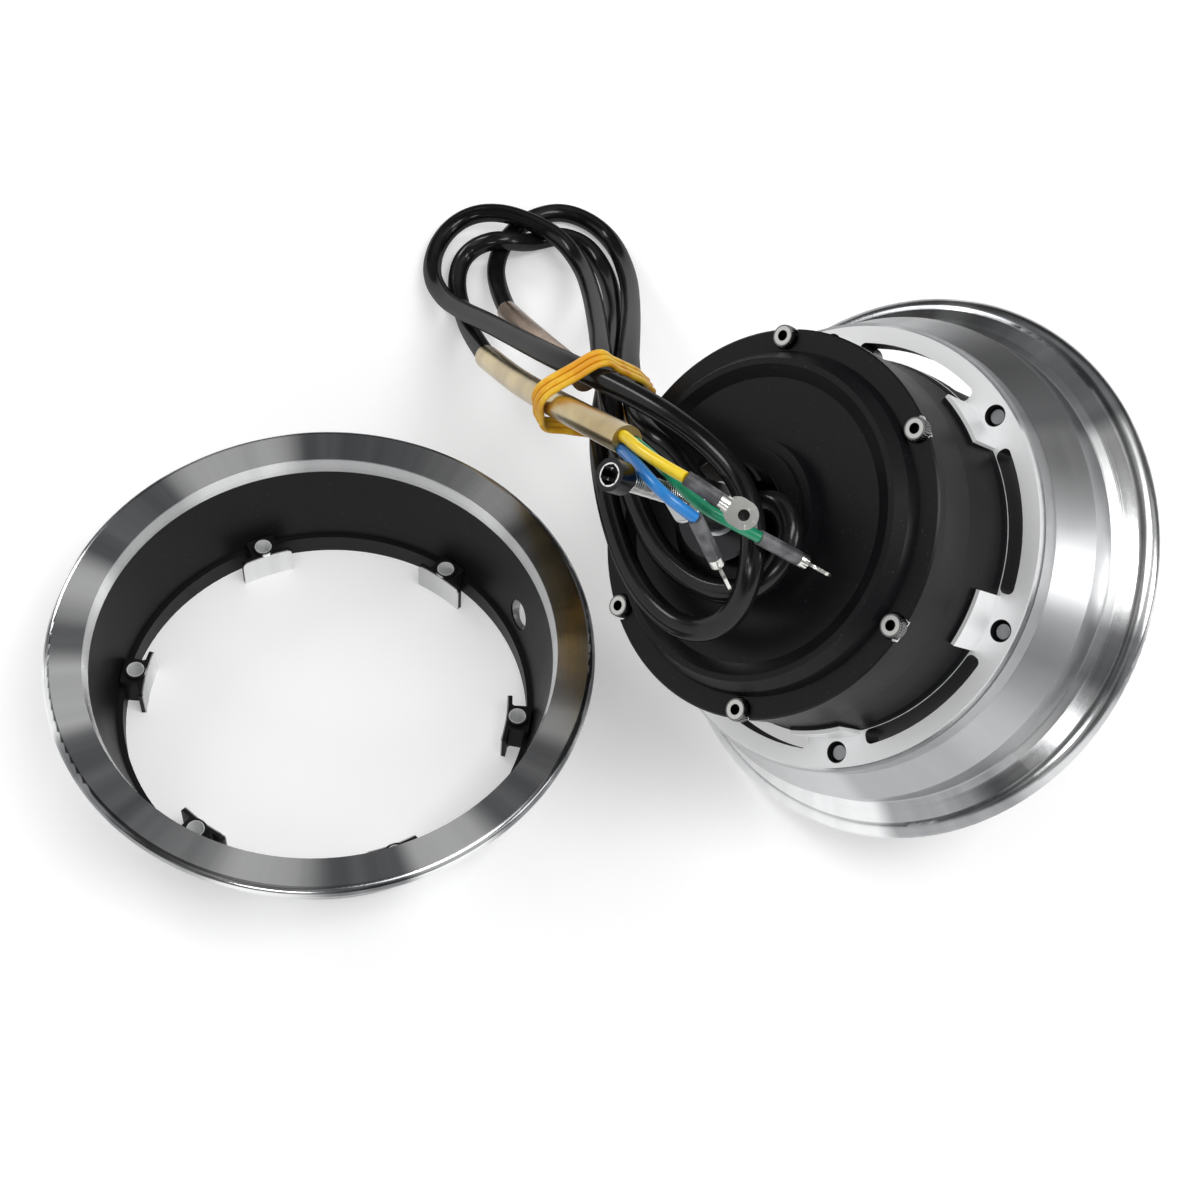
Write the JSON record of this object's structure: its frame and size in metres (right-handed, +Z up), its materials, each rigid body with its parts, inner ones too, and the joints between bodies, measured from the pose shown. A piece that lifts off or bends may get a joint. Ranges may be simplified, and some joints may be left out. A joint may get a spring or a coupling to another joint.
{
  "type": "hub motor",
  "caption": "Brushless hub motor with a split rim for a small scooter wheel: the removable rim half lies beside it, and two cables leave the axle in a banded bundle.",
  "frame": {"origin": "on the ground, under the middle of the box round the motor and the removable rim half, cables left out", "axes": "+Z up, +X from the removable rim half towards the motor"},
  "size_m": [0.3656, 0.3598, 0.1877],
  "materials": {
    "machined_aluminium": "bright turned aluminium, brushed barrel and polished lip",
    "black_paint": "satin black coat over cast aluminium",
    "stainless": "stainless steel screws",
    "dark_bolt": "plain steel bolt",
    "bearing_steel": "ground bearing steel",
    "seal_rubber": "black seal rubber",
    "lamination": "stacked electrical steel",
    "magnet_nickel": "nickel plated magnets",
    "copper_wire": "enamelled copper wire",
    "board_green": "green circuit board",
    "axle_steel": "turned steel",
    "collar_steel": "polished steel",
    "cable_black": "glossy black cable jacket",
    "sleeve_gold": "glossy beige and gold heat-shrink sleeve",
    "wire_yellow": "yellow insulation",
    "wire_blue": "blue insulation",
    "wire_green": "green insulation",
    "shrink_grey": "grey heat-shrink tube",
    "terminal_tin": "tinned ring terminals",
    "band_rubber": "yellow and orange rubber band"
  },
  "bodies": {
    "axle_side": {"removable_rim_half": "machined_aluminium", "front_bearing_inner": "bearing_steel", "front_bearing_balls": "bearing_steel", "rear_bearing_inner": "bearing_steel", "rear_bearing_balls": "bearing_steel", "stator_core": "lamination", "windings": "copper_wire", "stator_carrier": "machined_aluminium", "hall_board": "board_green", "axle": "axle_steel", "axle_leads": "cable_black", "cable_grommets": "seal_rubber", "cable_collar": "collar_steel", "front_end_bolt": "dark_bolt", "rear_end_bolt": "dark_bolt", "power_cable": "cable_black", "signal_cable": "cable_black", "power_sleeve": "sleeve_gold", "signal_sleeve": "sleeve_gold", "yellow_wire": "wire_yellow", "blue_wire": "wire_blue", "green_wire": "wire_green", "wire_shrinks": "shrink_grey", "ring_terminals": "terminal_tin", "rubber_band": "band_rubber"},
    "rotor": {"hub_shell": "machined_aluminium", "front_cover": "black_paint", "rear_cover": "black_paint", "front_cover_screws": "stainless", "rear_cover_screws": "stainless", "rim_bolts": "dark_bolt", "front_bearing_outer": "bearing_steel", "rear_bearing_outer": "bearing_steel", "front_seal": "seal_rubber", "rear_seal": "seal_rubber", "flux_ring": "lamination", "magnets": "magnet_nickel"}
  },
  "joints": [
    {"name": "rotor_spin", "type": "hinge", "parent": "axle_side", "child": "rotor", "pos_m": [0.10818, 0.02648, 0.07033], "axis": [-0.6263, -0.3808, 0.6802], "continuous": true}
  ]
}
